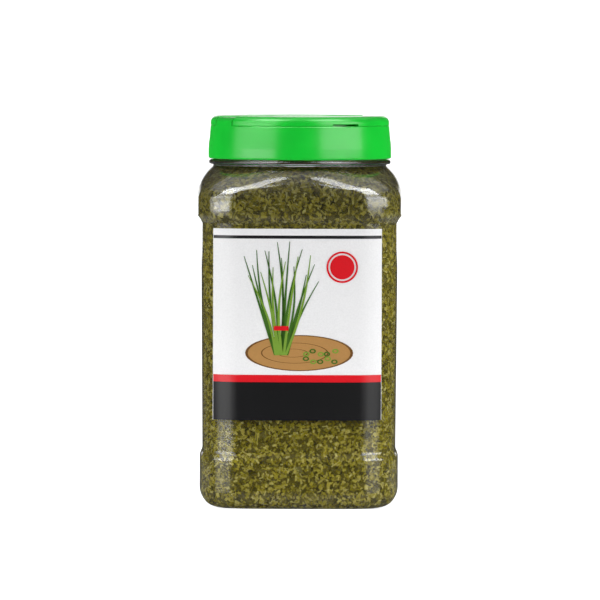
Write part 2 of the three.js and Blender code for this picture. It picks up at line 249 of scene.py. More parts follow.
def clear_pet(settings):
    """Stretch-blown PET: clear, high gloss, with the slow ripples of a blown wall."""
    material, tree, spot = new_material("Stretch-blown clear PET")
    ripple = add_node(tree, "ShaderNodeTexNoise", {"Vector": spot, "Scale": per_mm(22), "Detail": 1.0})
    bump = add_node(tree, "ShaderNodeBump", {"Height": ripple, "Strength": 0.25, "Distance": 0.6 * MM})
    wall = add_node(
        tree,
        "ShaderNodeBsdfPrincipled",
        {
            "Base Color": settings.tint,
            "Roughness": 0.1,
            "IOR": 1.575,
            "Transmission Weight": 1.0,
            "Normal": bump,
        },
    )
    # Lamps reach the flakes straight through the thin wall
    lamp = add_node(tree, "ShaderNodeBsdfTransparent", {"Color": (0.93, 0.94, 0.94, 1)})
    path = add_node(tree, "ShaderNodeLightPath")
    mix = add_node(tree, "ShaderNodeMixShader", {0: path.outputs["Is Shadow Ray"], 1: wall, 2: lamp})
    add_node(tree, "ShaderNodeOutputMaterial", {"Surface": mix})
    return material


def moulded_polypropylene(settings):
    """Injection-moulded PP: coloured through, soft gloss, a faint orange peel and uneven sheen."""
    material, tree, spot = new_material("Moulded green polypropylene")
    peel = add_node(tree, "ShaderNodeTexNoise", {"Vector": spot, "Scale": per_mm(0.9), "Detail": 2.0})
    bump = add_node(tree, "ShaderNodeBump", {"Height": peel, "Strength": 0.06, "Distance": 0.05 * MM})
    flow = add_node(tree, "ShaderNodeTexNoise", {"Vector": spot, "Scale": per_mm(16), "Detail": 3.0})
    sheen = add_node(tree, "ShaderNodeMapRange", {"Value": flow, "To Min": 0.2, "To Max": 0.28})
    shade = add_node(tree, "ShaderNodeValToRGB", {"Fac": flow})
    set_ramp(shade, [(0.3, dimmed(settings.green, 0.9)), (0.7, settings.green)])
    body = add_node(
        tree,
        "ShaderNodeBsdfPrincipled",
        {"Base Color": shade, "Roughness": sheen, "IOR": 1.49, "Normal": bump},
    )
    add_node(tree, "ShaderNodeOutputMaterial", {"Surface": body})
    return material


# Painted shade on the leaf under the jar's shoulder begins at the first height and is full at the second
PAINTED_SHADE_FROM = 118 * MM
PAINTED_SHADE_FULL = 144 * MM


def dried_leaf(name, settings, core_in_painted_shade):
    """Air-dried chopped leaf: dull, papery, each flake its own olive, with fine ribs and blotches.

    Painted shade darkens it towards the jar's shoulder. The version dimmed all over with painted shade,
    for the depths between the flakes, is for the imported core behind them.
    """
    material, tree, spot = new_material(name)
    blotch = add_node(tree, "ShaderNodeTexNoise", {"Vector": spot, "Scale": per_mm(1.6), "Detail": 3.0})
    if core_in_painted_shade:
        cells = add_node(tree, "ShaderNodeTexVoronoi", {"Vector": spot, "Scale": per_mm(2.4)})
        spread = cells.outputs["Color"]
    else:
        own = add_node(tree, "ShaderNodeAttribute", attribute_name="tint")
        spread = own.outputs["Fac"]
    mixed = add_node(tree, "ShaderNodeMix", {"Factor": 0.25, "A": spread, "B": blotch})
    ramp = add_node(tree, "ShaderNodeValToRGB", {"Fac": mixed})
    # Painted shade: the core's colours are dimmed to 0.45, for the shaded depths between the flakes
    scale = 0.45 if core_in_painted_shade else 1.0
    stops = [(0.05, settings.dark), (0.45, settings.leaf), (0.75, settings.pale), (0.97, settings.straw)]
    set_ramp(ramp, [(at, dimmed(shade, scale)) for at, shade in stops])
    # Painted shade: the colour goes from 1.05 times below 118 mm to 0.42 times above 144 mm
    split = add_node(tree, "ShaderNodeSeparateXYZ", {0: spot})
    painted_shade = add_node(
        tree,
        "ShaderNodeMapRange",
        {
            "Value": split.outputs["Z"],
            "From Min": PAINTED_SHADE_FROM,
            "From Max": PAINTED_SHADE_FULL,
            "To Min": 1.05,
            "To Max": 0.42,
        },
    )
    leaf_with_painted_shade = add_node(tree, "ShaderNodeVectorMath", {0: ramp, "Scale": painted_shade}, operation="SCALE")
    rib = add_node(tree, "ShaderNodeTexNoise", {"Vector": spot, "Scale": per_mm(0.5), "Detail": 2.0})
    bump = add_node(tree, "ShaderNodeBump", {"Height": rib, "Strength": 0.5, "Distance": 0.15 * MM})
    leaf = add_node(
        tree,
        "ShaderNodeBsdfPrincipled",
        {
            "Base Color": leaf_with_painted_shade,
            "Roughness": 0.62,
            "IOR": 1.42,
            "Specular IOR Level": 0.15,
            "Normal": bump,
        },
    )
    add_node(tree, "ShaderNodeOutputMaterial", {"Surface": leaf})
    return material


def printed(name, shade, roughness, grain_mm):
    """Coated paper or ink on it: satin, with the paper's fine tooth and slightly uneven cover."""
    material, tree, spot = new_material(name)
    tooth = add_node(
        tree, "ShaderNodeTexNoise", {"Vector": spot, "Scale": per_mm(grain_mm), "Detail": 4.0}
    )
    cover = add_node(tree, "ShaderNodeValToRGB", {"Fac": tooth})
    set_ramp(cover, [(0.3, dimmed(shade, 0.93)), (0.7, shade)])
    bump = add_node(tree, "ShaderNodeBump", {"Height": tooth, "Strength": 0.1, "Distance": 0.04 * MM})
    sheet = add_node(
        tree,
        "ShaderNodeBsdfPrincipled",
        {"Base Color": cover, "Roughness": roughness, "IOR": 1.5, "Normal": bump},
    )
    add_node(tree, "ShaderNodeOutputMaterial", {"Surface": sheet})
    return material


def foam_liner():
    """Expanded polyethylene: off-white, dull, with fine closed cells."""
    material, tree, spot = new_material("Expanded polyethylene liner")
    cells = add_node(tree, "ShaderNodeTexVoronoi", {"Vector": spot, "Scale": per_mm(0.6)})
    shade = add_node(tree, "ShaderNodeValToRGB", {"Fac": cells})
    set_ramp(shade, [(0.0, linear("#dedcd4")), (0.8, linear("#f2f0ea"))])
    bump = add_node(tree, "ShaderNodeBump", {"Height": cells, "Strength": 0.3, "Distance": 0.1 * MM})
    foam = add_node(
        tree, "ShaderNodeBsdfPrincipled", {"Base Color": shade, "Roughness": 0.75, "Normal": bump}
    )
    add_node(tree, "ShaderNodeOutputMaterial", {"Surface": foam})
    return material


# Painted shadow round the jar's foot: no emission within the first distance off the axis in x or y, full
# emission from the second
PAINTED_SHADOW_CORE = 29 * MM
PAINTED_SHADOW_RIM = 39 * MM


def light_table():
    """Opal acrylic lit from below: an even white ground, dim under the jar where a painted shadow fades
    out its emission, and dark on its underside.
    """
    material, tree, spot = new_material("Opal acrylic light table")
    away = add_node(tree, "ShaderNodeVectorMath", {0: spot}, operation="ABSOLUTE")
    split = add_node(tree, "ShaderNodeSeparateXYZ", {0: away})
    larger = add_node(
        tree, "ShaderNodeMath", {0: split.outputs["X"], 1: split.outputs["Y"]}, operation="MAXIMUM"
    )
    # Painted shadow: the emission fades in between 29 mm and 39 mm off the jar's axis
    emission_less_painted_shadow = add_node(
        tree,
        "ShaderNodeMapRange",
        {"Value": larger, "From Min": PAINTED_SHADOW_CORE, "From Max": PAINTED_SHADOW_RIM},
        interpolation_type="SMOOTHSTEP",
    )
    top = add_node(
        tree,
        "ShaderNodeBsdfPrincipled",
        {
            "Base Color": linear("#c8c8c8"),
            "Roughness": 0.6,
            "Emission Color": (1, 1, 1, 1),
            "Emission Strength": emission_less_painted_shadow,
        },
    )
    under = add_node(tree, "ShaderNodeBsdfDiffuse", {"Color": linear("#202020")})
    side = add_node(tree, "ShaderNodeNewGeometry")
    mix = add_node(tree, "ShaderNodeMixShader", {0: side.outputs["Backfacing"], 1: top, 2: under})
    add_node(tree, "ShaderNodeOutputMaterial", {"Surface": mix})
    return material


def pale_floor():
    """Painted studio floor: matt and pale, faintly uneven."""
    material, tree, spot = new_material("Matt painted floor")
    wear = add_node(tree, "ShaderNodeTexNoise", {"Vector": spot, "Scale": per_mm(400), "Detail": 2.0})
    shade = add_node(tree, "ShaderNodeValToRGB", {"Fac": wear})
    set_ramp(shade, [(0.3, linear("#a8a8a8")), (0.7, linear("#b0b0b0"))])
    paint = add_node(tree, "ShaderNodeBsdfPrincipled", {"Base Color": shade, "Roughness": 0.8})
    add_node(tree, "ShaderNodeOutputMaterial", {"Surface": paint})
    return material


def deselect():
    """Object mode with nothing selected."""
    if bpy.context.mode != "OBJECT":
        bpy.ops.object.mode_set(mode="OBJECT")
    bpy.ops.object.select_all(action="DESELECT")


def pick(*objects):
    """Selects these objects alone. The first is active."""
    deselect()
    for item in objects:
        item.select_set(True)
    bpy.context.view_layer.objects.active = objects[0]


def begin(name, primitive, **settings):
    """Adds a primitive with nothing else selected, and names it."""
    deselect()
    primitive(**settings)
    item = bpy.context.object
    item.name = name
    return item


def edit_all(item):
    """Opens one object in edit mode with all of it selected."""
    pick(item)
    bpy.ops.object.mode_set(mode="EDIT")
    bpy.ops.mesh.select_mode(type="VERT")
    bpy.ops.mesh.select_all(action="SELECT")


def apply_modifier(item, kind, **settings):
    """Adds a modifier to an object and applies it."""
    pick(item)
    modifier = item.modifiers.new(kind.title(), kind)
    for name, value in settings.items():
        setattr(modifier, name, value)
    bpy.ops.object.modifier_apply(modifier=modifier.name)


def remove(*objects):
    """Deletes helper objects."""
    pick(*objects)
    bpy.ops.object.delete()


def join(name, first, *others):
    """Joins objects into the first and names it."""
    pick(first, *others)
    if others:
        bpy.ops.object.join()
    first.name = name
    return first


def tidy_mesh(item, angle_limit=35):
    """Merges doubles, turns faces outwards, fixes their order and shades smooth up to an angle."""
    edit_all(item)
    bpy.ops.mesh.remove_doubles(threshold=0.001 * MM)
    bpy.ops.mesh.normals_make_consistent(inside=False)
    deselect()
    fixed_order(item)
    pick(item)
    bpy.ops.object.shade_smooth_by_angle(angle=math.radians(angle_limit))


def fixed_order(item):
    """Puts a mesh's points and faces in the same order each run, so that a seeded scatter repeats."""
    mesh = item.data
    spots = [[round(c / MM, 2) for c in point.co] for point in mesh.vertices]
    order = sorted(range(len(spots)), key=spots.__getitem__)
    rank = {old: new for new, old in enumerate(order)}
    faces = []
    for face in mesh.polygons:
        loop = [rank[i] for i in face.vertices]
        start = loop.index(min(loop))
        faces.append(loop[start:] + loop[:start])
    points = [mesh.vertices[i].co.copy() for i in order]
    mesh.clear_geometry()
    mesh.from_pydata(points, [], sorted(faces))


def finish_piece(item, material, body, slot, *nodes):
    """Gives a finished piece its material and body, and hides the imported nodes that it stands for. The
    slot is not used.
    """
    item.data.materials.clear()
    item.data.materials.append(material)
    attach(item, body)
    if nodes:
        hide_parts(*nodes)
    return item


SIDE_CUTS = 9
CORNER_SHARE = 0.41  # the corner radius as a share of the half width
CROWN_SHARE = 0.021  # how far the middle of a side stands out, as a share of the half width


def ring_loft(name, rings):
    """Draws a rounded square and extrudes it from ring to ring: (height, half width, roundness).

    Roundness goes from 0, the square, to 1, a circle, and never falls. The first ring is closed.
    """
    z, half, _ = rings[0]
    item = begin(name, bpy.ops.mesh.primitive_plane_add, size=2 * half)
    edit_all(item)
    bpy.ops.mesh.bevel(offset=CORNER_SHARE * half, segments=10, affect="VERTICES")
    bpy.ops.mesh.delete(type="ONLY_FACE")
    bpy.ops.mesh.select_mode(type="EDGE")
    bpy.ops.mesh.select_all(action="DESELECT")
    shape = bmesh.from_edit_mesh(item.data)
    for edge in shape.edges:
        edge.select_set(edge.calc_length() > half / 2)
    bmesh.update_edit_mesh(item.data)
    bpy.ops.mesh.subdivide(number_cuts=SIDE_CUTS)
    shape = bmesh.from_edit_mesh(item.data)
    straight = (1 - CORNER_SHARE) * half
    for point in shape.verts:
        across, along = (0, 1) if abs(point.co.x) > abs(point.co.y) else (1, 0)
        share = max(min(point.co[along] / straight, 1), -1)
        point.co[across] -= math.copysign(CROWN_SHARE * half * share**2, point.co[across])
        point.co[along] -= CROWN_SHARE * half * share
    bmesh.update_edit_mesh(item.data)
    bpy.ops.mesh.select_all(action="SELECT")
    bpy.ops.transform.translate(value=(0, 0, z))
    bpy.ops.mesh.edge_face_add()
    bpy.ops.mesh.select_mode(type="EDGE")
    roundness = 0.0
    for ring_z, ring_half, ring_round in rings[1:]:
        bpy.ops.mesh.extrude_edges_move(TRANSFORM_OT_translate={"value": (0, 0, ring_z - z)})
        if ring_round > roundness:
            bpy.ops.transform.tosphere(value=(ring_round - roundness) / (1 - roundness))
            roundness = ring_round
        shape = bmesh.from_edit_mesh(item.data)
        reached = max(v.co.x for v in shape.verts if v.select)
        grow = ring_half / reached
        bpy.ops.transform.resize(value=(grow, grow, 1), center_override=(0, 0, ring_z))
        z = ring_z
    deselect()
    return item


def close_top(item):
    """Fills the open top ring of a loft."""
    edit_all(item)
    bpy.ops.mesh.select_all(action="DESELECT")
    bpy.ops.mesh.select_non_manifold()
    bpy.ops.mesh.edge_face_add()
    deselect()


def arc(centre_z, centre_half, radius_z, radius_half, start, end, steps):
    """(height, half width) points on an elliptic arc, angles in degrees from the level outward."""
    points = []
    for i in range(steps + 1):
        at = math.radians(start + (end - start) * i / steps)
        points.append((centre_z + radius_z * math.sin(at), centre_half + radius_half * math.cos(at)))
    return points


def eased(low, high, steps):
    """Points on an S curve between two (height, half width) points."""
    points = []
    for i in range(steps + 1):
        share = i / steps
        ease = (1 - math.cos(math.pi * share)) / 2
        points.append((low[0] + (high[0] - low[0]) * share, low[1] + (high[1] - low[1]) * ease))
    return points


SHOULDER_Z = 138.0 * MM  # the shoulder starts here
SHOULDER_RISE = 20 * MM
SHOULDER_REACH = 23.8 * MM
SHOULDER_SWEEP = 46  # degrees
ROUND_Z = 150.4 * MM  # the section is round from here
THICK_Z = 144.0 * MM  # the wall thickens from here
LOWER_STEP = (21.8 * MM, 25.8 * MM)
UPPER_STEP = (127.2 * MM, 131.0 * MM)
NECK_FOOT = 153.0 * MM
BEAD_Z = 154.05 * MM
BEAD_ROUND = 0.9 * MM
# Heights and half widths in mm of the base, from its raised middle to the ring that it stands on
BASE = ((3.6, 18), (3.2, 26), (0.9, 30.2), (0.2, 31.1), (0, 31.8))
# Heights and half widths in mm of the inside, where the wall thickens
THICK_WALL = ((145.5, 43.1), (148, 41.2), (149.4, 39.8), (150.6, 38.3), (151.8, 36.9))


def body_profile(jar):
    """(height, half width) of the jar's outside, from the raised middle of the base to the neck."""
    points = [(z * MM, half * MM) for z, half in BASE]
    points += arc(jar.heel, jar.lower_bulge - jar.heel, jar.heel, jar.heel, -90, 0, 12)
    points += eased((LOWER_STEP[0], jar.lower_bulge), (LOWER_STEP[1], jar.waist_foot), 10)
    for z, share in ((60, 0.33), (95, 0.67)):
        points.append((z * MM, jar.waist_foot + share * (jar.waist_top - jar.waist_foot)))
    points += eased((UPPER_STEP[0], jar.waist_top), (UPPER_STEP[1], jar.upper_bulge), 10)
    middle = jar.upper_bulge - SHOULDER_REACH
    points += arc(SHOULDER_Z, middle, SHOULDER_RISE, SHOULDER_REACH, 0, SHOULDER_SWEEP, 14)
    return points


def drawn_in(points, inset):
    """A profile moved inwards along its normals. Points that would fold back are dropped."""
    moved = []
    for i, (z, half) in enumerate(points):
        before = points[max(i - 1, 0)]
        after = points[min(i + 1, len(points) - 1)]
        along = Vector((after[1] - before[1], after[0] - before[0])).normalized()
        spot = (z + inset * along.x, half - inset * along.y)
        if i <= len(BASE) or spot[0] > moved[-1][0] + 0.05 * MM:
            moved.append(spot)
    return moved


def inside_profile(jar):
    """(height, half width) of the jar's inside. The wall thickens from the shoulder to the neck."""
    points = [spot for spot in drawn_in(body_profile(jar), jar.wall) if spot[0] < THICK_Z]
    points += [(z * MM, half * MM) for z, half in THICK_WALL]
    points.append((NECK_FOOT + 0.2 * MM, jar.neck_bore))
    return points


def with_roundness(points):
    """Adds to each point how far its ring has turned from square to round."""
    rings = []
    for z, half in points:
        share = min(max((z - SHOULDER_Z) / (ROUND_Z - SHOULDER_Z), 0), 1)
        rings.append((z, half, share**1.75))
    return rings


# Name, middle and size in metres, tilt in degrees
SHEETS = (
    ("floor", (0, 0, -0.3), (9, 9), 0),
    ("light_table", (0, 1.55, 0), (0.8, 3.1), 0),
    ("light_table_near", (0, -0.06, 0), (0.8, 0.12), 0),
    ("light_table_front", (0, -2.06, 0), (0.8, 3.88), 0),
    ("backdrop", (0, 3.1, 0.5), (1.3, 1.04), 90),
)
PANEL_RADIUS = 1.0
# Name, degrees from the front, half angle, foot and top in metres, share of the key, only for highlights
PANELS = (
    ("left_foot_panel", -57, 22, -0.25, 0.06, 0.9, False),
    ("left_low_panel", -54, 22, 0.05, 0.22, 3.2, False),
    ("left_softbox", -60, 30, 0.04, 0.65, 2.1, False),
    ("left_high_panel", -54, 26, 0.45, 1.0, 2.4, True),
    ("right_foot_panel", 52, 20, -0.25, 0.1, 0.8, False),
    ("right_low_panel", 46, 18, 0.05, 0.135, 1.6, False),
    ("right_softbox", 55, 29, 0.13, 0.6, 4.0, False),
    ("right_high_panel", 50, 26, 0.45, 1.0, 2.4, True),
)
# Name and degrees from the front of the lamps above the shoulder
HOT_SPOTS = (("left_hot_spot", -58), ("right_hot_spot", 56))
HOT_SPOT_RADIUS = 0.5
HOT_SPOT_HEIGHT = 0.95
HOT_SPOT_SIZE = (0.55, 0.45)
HOT_SPOT_SHARE = 8
SHOULDER_AIM = (0, 0, 0.14)
CEILING = (0, 0.35, 1.15)
CEILING_SIZE = (1.9, 1.5)
LAMP_LAYERS = 3


def around(degrees, radius, height):
    """A place at an angle from the front, seen from the jar."""
    turn = math.radians(degrees)
    return (radius * math.sin(turn), -radius * math.cos(turn), height)


def soft_light(name, place, aim, size, bright, fade=0.25, highlight=False):
    """Nested area lamps whose edges fade, where brightness 1 is that of lit white paper.

    A highlight lamp is only seen in glossy surfaces.
    """
    for layer in range(LAMP_LAYERS):
        wide, high = (span * (1 - fade * layer) for span in size)
        lamp = begin(f"{name}_{layer + 1}", bpy.ops.object.light_add, type="AREA", location=place)
        lamp.data.shape = "RECTANGLE"
        lamp.data.size = wide
        lamp.data.size_y = high
        lamp.data.energy = bright / LAMP_LAYERS * math.pi * wide * high
        lamp.visible_diffuse = not highlight
        lamp.rotation_euler = (Vector(aim) - Vector(place)).to_track_quat("-Z", "Y").to_euler()


def lay_sheets():
    """Lays the floor and the light table, and hangs the backdrop."""
    table = light_table()
    floor = pale_floor()
    for name, place, spread, tilt in SHEETS:
        turn = (math.radians(tilt), 0, 0)
        sheet = begin(name, bpy.ops.mesh.primitive_plane_add, size=1, location=place, rotation=turn)
        sheet.scale = (*spread, 1)
        bpy.ops.object.transform_apply()
        sheet.data.materials.append(floor if name == "floor" else table)
        sheet.visible_glossy = not name.startswith("light_table")
        if name in ("light_table_near", "light_table_front"):
            # The ground in front doesn't haze the wall, and only its near strip lights the flakes
            sheet.visible_transmission = False
            sheet.visible_diffuse = name == "light_table_near"


def hang_lamps(stage):
    """Hangs the side panels, the hot spots over the shoulder and the ceiling panel."""
    for name, degrees, half, foot, top, share, highlight in PANELS:
        place = around(degrees, PANEL_RADIUS, (foot + top) / 2)
        size = (2 * PANEL_RADIUS * math.tan(math.radians(half)), top - foot)
        soft_light(name, place, (0, 0, place[2]), size, share * stage.key, highlight=highlight)
    for name, degrees in HOT_SPOTS:
        place = around(degrees, HOT_SPOT_RADIUS, HOT_SPOT_HEIGHT)
        bright = HOT_SPOT_SHARE * stage.key
        soft_light(name, place, SHOULDER_AIM, HOT_SPOT_SIZE, bright, highlight=True)
    soft_light("ceiling_panel", CEILING, (*CEILING[:2], 0), CEILING_SIZE, stage.overhead, fade=0)


def light_room(stage):
    """A dim room, a little lighter straight above."""
    world = bpy.data.worlds.new("Studio room")
    world.use_nodes = True
    tree = world.node_tree
    ray = add_node(tree, "ShaderNodeTexCoord")
    split = add_node(tree, "ShaderNodeSeparateXYZ", {0: ray.outputs["Generated"]})
    rise = add_node(
        tree,
        "ShaderNodeMapRange",
        {"Value": split.outputs["Z"], "From Min": 0.2, "To Min": stage.surround, "To Max": stage.zenith},
    )
    background = tree.nodes["Background"]
    background.inputs["Color"].default_value = (1, 1, 1, 1)
    tree.links.new(rise.outputs["Result"], background.inputs["Strength"])
    return world


def place_camera(stage):
    """A long lens in front of the label, looking slightly down."""
    reach = stage.distance
    place = Vector((stage.aim_side, -reach * math.cos(stage.elevation), 0))
    place.z = stage.aim_height + reach * math.sin(stage.elevation)
    camera = begin("studio_camera", bpy.ops.object.camera_add, location=place)
    facing = Euler((math.pi / 2 - stage.elevation, 0, 0)).to_matrix()
    camera.rotation_euler = (facing @ Matrix.Rotation(stage.roll, 3, "Z")).to_euler()
    camera.data.lens = stage.lens
    camera.data.sensor_width = 36
    camera.data.clip_end = 100
    return camera


class CHIVEJAR_OT_stage(bpy.types.Operator):
    """Sets up the floor, the lights and the camera"""

    bl_idname = "chivejar.stage"
    bl_label = "Studio"

    def execute(self, context):
        scene = context.scene
        stage = scene.chive_jar.stage
        scene.view_settings.view_transform = "Standard"
        lay_sheets()
        hang_lamps(stage)
        scene.world = light_room(stage)
        scene.camera = place_camera(stage)
        return {"FINISHED"}


THREAD_PITCH = 4.8 * MM
THREAD_TURNS = 1.25
THREAD_DEPTH = 1.0 * MM
CREST_HALF = 0.5 * MM
ROOT_HALF = 0.95 * MM
JAR_THREAD_Z = 159.4 * MM


def thread_ridge(name, root, crest, foot):
    """A run of screw thread: its section is drawn at its foot, wound up and closed at both ends."""
    item = begin(
        name, bpy.ops.mesh.primitive_plane_add, size=MM, location=(root, 0, foot), rotation=UPRIGHT
    )
    bpy.ops.object.transform_apply()
    edit_all(item)
    shape = bmesh.from_edit_mesh(item.data)
    for point in shape.verts:
        outer = point.co.x > root
        point.co.x = crest if outer else root
        half = CREST_HALF if outer else ROOT_HALF
        point.co.z = foot + math.copysign(half, point.co.z - foot)
    bmesh.update_edit_mesh(item.data)
    apply_modifier(
        item,
        "SCREW",
        angle=2 * math.pi * THREAD_TURNS,
        screw_offset=THREAD_PITCH * THREAD_TURNS,
        steps=64,
        render_steps=64,
        use_smooth_shade=False,
    )
    edit_all(item)
    bpy.ops.mesh.fill_holes(sides=0)
    tidy_mesh(item)
    return item


class CHIVEJAR_OT_jar(bpy.types.Operator):
    """Models the clear jar: outside, neck with its bead, rim and inside"""

    bl_idname = "chivejar.jar"
    bl_label = "Jar"

    def execute(self, context):
        jar = context.scene.chive_jar.jar
        rim = JAR_HIGH[2]
        outside = body_profile(jar) + [(NECK_FOOT, jar.neck + 1.3 * MM)]
        outside += arc(BEAD_Z, jar.bead - BEAD_ROUND, 1.05 * MM, BEAD_ROUND, -80, 80, 8)
        outside += [(155.2 * MM, jar.neck + 0.3 * MM), (155.6 * MM, jar.neck)]
        outside += [(rim - 0.6 * MM, jar.neck)]
        outside += arc(rim - 0.4 * MM, jar.neck - 0.4 * MM, 0.4 * MM, 0.4 * MM, 0, 90, 4)[1:]
        inside = inside_profile(jar) + [(rim - 0.6 * MM, jar.neck_bore)]
        inside += [(rim - 0.1 * MM, jar.neck_bore + 0.15 * MM), (rim, jar.neck_bore + 0.5 * MM)]
        shell = ring_loft("jar_body", with_roundness(outside))
        lining = ring_loft("jar_inside", with_roundness(inside))
        join("jar_body", shell, lining)
        edit_all(shell)
        bpy.ops.mesh.select_all(action="DESELECT")
        bpy.ops.mesh.select_non_manifold()
        bpy.ops.mesh.bridge_edge_loops()
        tidy_mesh(shell, 60)
        ridge = thread_ridge("jar_thread", jar.neck - 0.6 * MM, jar.neck + THREAD_DEPTH, JAR_THREAD_Z)
        combine(shell, ridge, "UNION")
        tidy_mesh(shell, 50)
        finish_piece(shell, clear_pet(jar), "jar", "clear_pet", "jar")
        return {"FINISHED"}


def shard(name, leaf, width, bend, material):
    """One flake: a flat three-sided sliver, bent in the middle and crumpled a little."""
    item = begin(
        name,
        bpy.ops.mesh.primitive_cylinder_add,
        vertices=3,
        radius=width / math.sqrt(3),
        depth=leaf,
        rotation=(0, math.pi / 2, 0),
    )
    bpy.ops.object.transform_apply()
    edit_all(item)
    bpy.ops.mesh.bisect(plane_co=(0.1 * leaf, 0, 0), plane_no=(1, 0, 0))
    bpy.ops.transform.translate(value=(0, 0, bend))
    bpy.ops.mesh.select_all(action="SELECT")
    bpy.ops.transform.resize(value=(1, 1, 0.45))
    bpy.ops.transform.vertex_random(offset=0.16 * MM, seed=ord(name[-1]), normal=0.2)
    deselect()
    item.data.materials.append(material)
    return item


def scatter_tree(name, group, density, tilt, seed):
    """Geometry nodes that lay seeded copies of the flakes on a surface, each with its own tint."""
    tree = bpy.data.node_groups.new(name, "GeometryNodeTree")
    tree.interface.new_socket("Geometry", in_out="INPUT", socket_type="NodeSocketGeometry")
    tree.interface.new_socket("Geometry", in_out="OUTPUT", socket_type="NodeSocketGeometry")
    ground = add_node(tree, "NodeGroupInput")
    points = add_node(
        tree, "GeometryNodeDistributePointsOnFaces", {"Mesh": ground, "Density": density, "Seed": seed}
    )
    flakes = add_node(
        tree,
        "GeometryNodeCollectionInfo",
        {"Collection": group, "Separate Children": True, "Reset Children": True},
    )
    tip = add_node(
        tree,
        "FunctionNodeRandomValue",
        {0: (-tilt, -tilt, 0), 1: (tilt, tilt, 2 * math.pi), 8: seed + 1},
        data_type="FLOAT_VECTOR",
    )
    lean = add_node(tree, "FunctionNodeEulerToRotation", {0: tip})
    turn = add_node(
        tree,
        "FunctionNodeRotateRotation",
        {"Rotation": points.outputs["Rotation"], "Rotate By": lean},
        rotation_space="LOCAL",
    )
    size = add_node(
        tree,
        "FunctionNodeRandomValue",
        {0: (0.55, 0.6, 0.6), 1: (1.3, 1.15, 1.0), 8: seed + 2},
        data_type="FLOAT_VECTOR",
    )
    choice = add_node(
        tree, "FunctionNodeRandomValue", {4: 0, 5: len(group.objects) - 1, 8: seed + 3}, data_type="INT"
    )
    laid = add_node(
        tree,
        "GeometryNodeInstanceOnPoints",
        {
            "Points": points,
            "Instance": flakes,
            "Pick Instance": True,
            "Instance Index": choice.outputs[2],
            "Rotation": turn,
            "Scale": size,
        },
    )
    tint = add_node(tree, "FunctionNodeRandomValue", {2: 0.0, 3: 1.0, 8: seed + 4}, data_type="FLOAT")
    marked = add_node(
        tree,
        "GeometryNodeStoreNamedAttribute",
        {"Geometry": laid, "Name": "tint", "Value": tint.outputs[1]},
        data_type="FLOAT",
        domain="INSTANCE",
    )
    real = add_node(tree, "GeometryNodeRealizeInstances", {0: marked})
    add_node(tree, "NodeGroupOutput", {0: real})
    return tree


def contents_loft(name, jar, chives, inset):
    """A closed form that follows the inside of the jar up to the fill height."""
    edge = chives.fill_top - 2 * MM
    points = [spot for spot in drawn_in(inside_profile(jar), inset) if spot[0] < edge]
    half = points[-1][1]
    rings = with_roundness(points + [(edge, half - 0.6 * MM), (chives.fill_top, half - 3 * MM)])
    item = ring_loft(name, rings)
    close_top(item)
    return item


# Length, width and bend of each kind of flake, as shares of a typical one
FLAKE_KINDS = (
    (1.0, 1.0, 0.25),
    (0.7, 1.2, 0.15),
    (1.3, 0.8, -0.2),
    (0.5, 0.9, 0.1),
    (0.9, 1.4, 0.3),
    (1.6, 0.5, 0.3),
    (0.6, 0.7, -0.1),
    (1.1, 1.1, -0.3),
)
# Depth of each layer behind the inner wall in mm, and how far its flakes tilt
FLAKE_LAYERS = ((0.6, 0.15), (0.95, 0.3), (1.4, 0.4), (1.9, 0.5), (2.4, 0.6))


class CHIVEJAR_OT_chives(bpy.types.Operator):
    """Fills the jar: a packed core and layers of curled flakes on it"""

    bl_idname = "chivejar.chives"
    bl_label = "Dried chives"

    def execute(self, context):
        settings = context.scene.chive_jar
        jar, chives = settings.jar, settings.chives
        core = contents_loft("chive_core", jar, chives, chives.core_inset)
        tidy_mesh(core)
        # The core's leaf is dimmed all over, painted shade for the depths behind the flakes
        packed = dried_leaf("Packed dried leaf", chives, True)
        finish_piece(core, packed, "jar", "dried_herb", "dried_chives")
        leaf = dried_leaf("Air-dried chopped leaf", chives, False)
        group = bpy.data.collections.new("flake shapes")
        kinds = []
        for i, (long, broad, bend) in enumerate(FLAKE_KINDS):
            width = chives.flake_width
            kind = shard(f"flake_{i}", chives.flake * long, width * broad, width * bend, leaf)
            group.objects.link(kind)
            kinds.append(kind)
        density = chives.flakes_per_square_cm * 1e4  # on a square metre
        for layer, (inset, tilt) in enumerate(FLAKE_LAYERS, start=1):
            item = contents_loft(f"chive_flakes_{layer}", jar, chives, inset * MM)
            edit_all(item)
            bpy.ops.mesh.normals_make_consistent(inside=False)
            deselect()
            fixed_order(item)
            tree = scatter_tree(f"scatter {layer}", group, density, tilt, chives.seed + 10 * layer)
            apply_modifier(item, "NODES", node_group=tree)
            finish_piece(item, leaf, "jar", "dried_herb")
        remove(*kinds)
        return {"FINISHED"}


FLAT_Y = -60 * MM  # flat shapes are drawn here, in front of the jar
LABEL_COLUMNS = 72
STEMS = 19
RINGS = 10


def flat_sheet(name, x0, x1, z0, z1, columns, rows):
    """An upright flat grid in front of the jar."""
    item = begin(
        name,
        bpy.ops.mesh.primitive_grid_add,
        x_subdivisions=columns,
        y_subdivisions=rows,
        size=1,
        location=((x0 + x1) / 2, FLAT_Y, (z0 + z1) / 2),
        rotation=UPRIGHT,
    )
    item.scale = (x1 - x0, z1 - z0, 1)
    bpy.ops.object.transform_apply()
    return item


